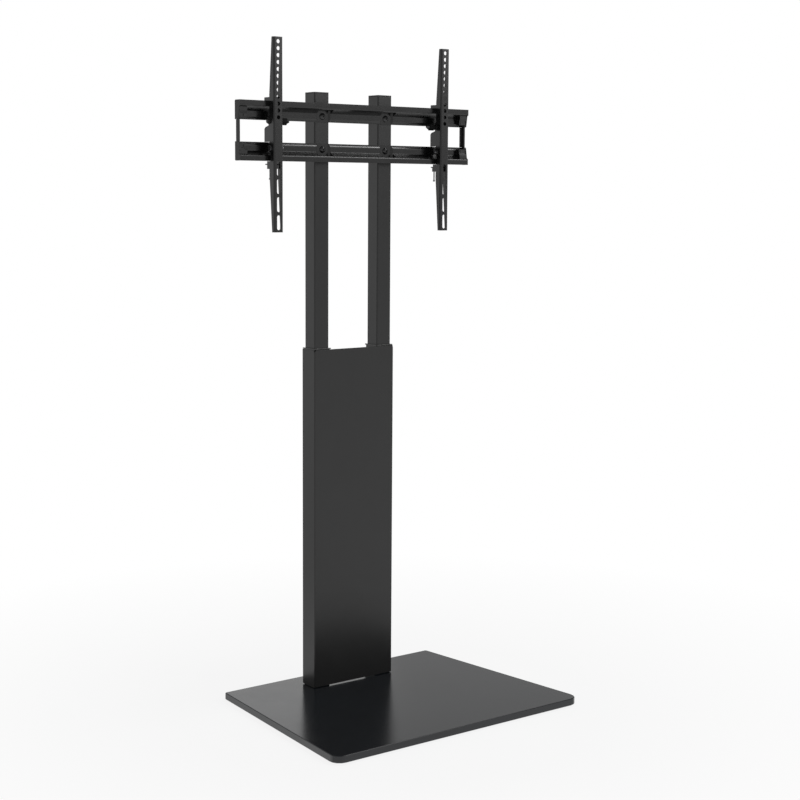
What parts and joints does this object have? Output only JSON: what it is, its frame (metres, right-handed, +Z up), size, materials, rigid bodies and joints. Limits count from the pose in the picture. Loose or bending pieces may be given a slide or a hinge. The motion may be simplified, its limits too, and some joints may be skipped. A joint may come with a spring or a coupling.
{
  "type": "television floor stand",
  "caption": "Floor stand for a flat screen: flat board, covered column with two telescopic square posts, folded cross rails and sliding arms that tilt.",
  "frame": {"origin": "middle of the footprint, on the floor", "axes": "+Z up, the screen side and the board's wide edge face -Y, +X to the right when seen from behind the -Y camera"},
  "size_m": [0.6952, 0.52, 1.528],
  "materials": {
    "board_black": "black satin lacquer on pressed board",
    "pad_black": "matt",
    "tube_black": "satin powder coat",
    "cover_black": "satin powder coat",
    "post_black": "satin powder coat",
    "rail_black": "satin powder coat",
    "arm_black": "satin powder coat",
    "bracket_black": "satin powder coat",
    "bush_black": "fine grain",
    "cap_black": "fine grain",
    "knob_black": "fine grain",
    "screw_black": "black oxide",
    "screw_grey": "zinc plated",
    "zinc_grey": "zinc plated"
  },
  "bodies": {
    "base": {"base_board": "board_black", "foot_pads": "pad_black", "base_bolts": "screw_grey", "base_washers": "zinc_grey", "outer_tube_left": "tube_black", "outer_tube_right": "tube_black", "tie_lower": "tube_black", "tie_upper": "tube_black", "column_cover": "cover_black", "cover_screws": "screw_black", "tube_bush_left": "bush_black", "tube_bush_right": "bush_black", "clamp_nut_left": "tube_black", "clamp_nut_right": "tube_black"},
    "lift": {"inner_post_left": "post_black", "inner_post_right": "post_black", "post_cap_left": "cap_black", "post_cap_right": "cap_black", "post_glide_left": "cap_black", "post_glide_right": "cap_black", "rail_top": "rail_black", "rail_bottom": "rail_black", "rail_bolts": "screw_black", "rail_washers": "zinc_grey", "rail_nuts": "zinc_grey", "rail_cap_left": "cap_black", "rail_cap_right": "cap_black", "cap_screws": "screw_black"},
    "clamp_knob_left": {"clamp_knob_left": "knob_black"},
    "carrier_left": {"hook_bracket_left": "bracket_black", "pivot_bolt_left": "screw_grey", "pivot_nut_left": "zinc_grey", "lock_nut_left": "zinc_grey"},
    "arm_left": {"arm_left": "arm_black", "tilt_bolt_left": "screw_grey", "tilt_washers_left": "zinc_grey"},
    "tilt_knob_left": {"tilt_knob_left": "knob_black"},
    "lock_screw_left": {"lock_screw_left": "screw_grey"},
    "clamp_knob_right": {"clamp_knob_right": "knob_black"},
    "carrier_right": {"hook_bracket_right": "bracket_black", "pivot_bolt_right": "screw_grey", "pivot_nut_right": "zinc_grey", "lock_nut_right": "zinc_grey"},
    "arm_right": {"arm_right": "arm_black", "tilt_bolt_right": "screw_grey", "tilt_washers_right": "zinc_grey"},
    "tilt_knob_right": {"tilt_knob_right": "knob_black"},
    "lock_screw_right": {"lock_screw_right": "screw_grey"}
  },
  "joints": [
    {"name": "lift_slide", "type": "slide", "parent": "base", "child": "lift", "axis": [0, 0, 1], "range_m": [-0.3, 0]},
    {"name": "clamp_turn_left", "type": "hinge", "parent": "base", "child": "clamp_knob_left", "pos_m": [-0.0571, 0.1861, 0.775], "axis": [1, 0, 0], "continuous": true},
    {"name": "clamp_turn_right", "type": "hinge", "parent": "base", "child": "clamp_knob_right", "pos_m": [0.0571, 0.1861, 0.775], "axis": [1, 0, 0], "continuous": true},
    {"name": "carrier_slide_left", "type": "slide", "parent": "lift", "child": "carrier_left", "axis": [-1, 0, 0], "range_m": [-0.1365, 0.058]},
    {"name": "carrier_slide_right", "type": "slide", "parent": "lift", "child": "carrier_right", "axis": [1, 0, 0], "range_m": [-0.1365, 0.058]},
    {"name": "arm_tilt_left", "type": "hinge", "parent": "carrier_left", "child": "arm_left", "pos_m": [-0.2365, 0.137, 1.286], "axis": [1, 0, 0], "range_deg": [0, 10]},
    {"name": "arm_tilt_right", "type": "hinge", "parent": "carrier_right", "child": "arm_right", "pos_m": [0.2365, 0.137, 1.286], "axis": [1, 0, 0], "range_deg": [0, 10]},
    {"name": "tilt_knob_turn_left", "type": "hinge", "parent": "arm_left", "child": "tilt_knob_left", "pos_m": [-0.2135, 0.1425, 1.345], "axis": [1, 0, 0], "continuous": true},
    {"name": "tilt_knob_turn_right", "type": "hinge", "parent": "arm_right", "child": "tilt_knob_right", "pos_m": [0.2135, 0.1425, 1.345], "axis": [1, 0, 0], "continuous": true},
    {"name": "lock_screw_rise_left", "type": "slide", "parent": "carrier_left", "child": "lock_screw_left", "axis": [0, 0, 1], "range_m": [0, 0.012]},
    {"name": "lock_screw_rise_right", "type": "slide", "parent": "carrier_right", "child": "lock_screw_right", "axis": [0, 0, 1], "range_m": [0, 0.012]}
  ]
}
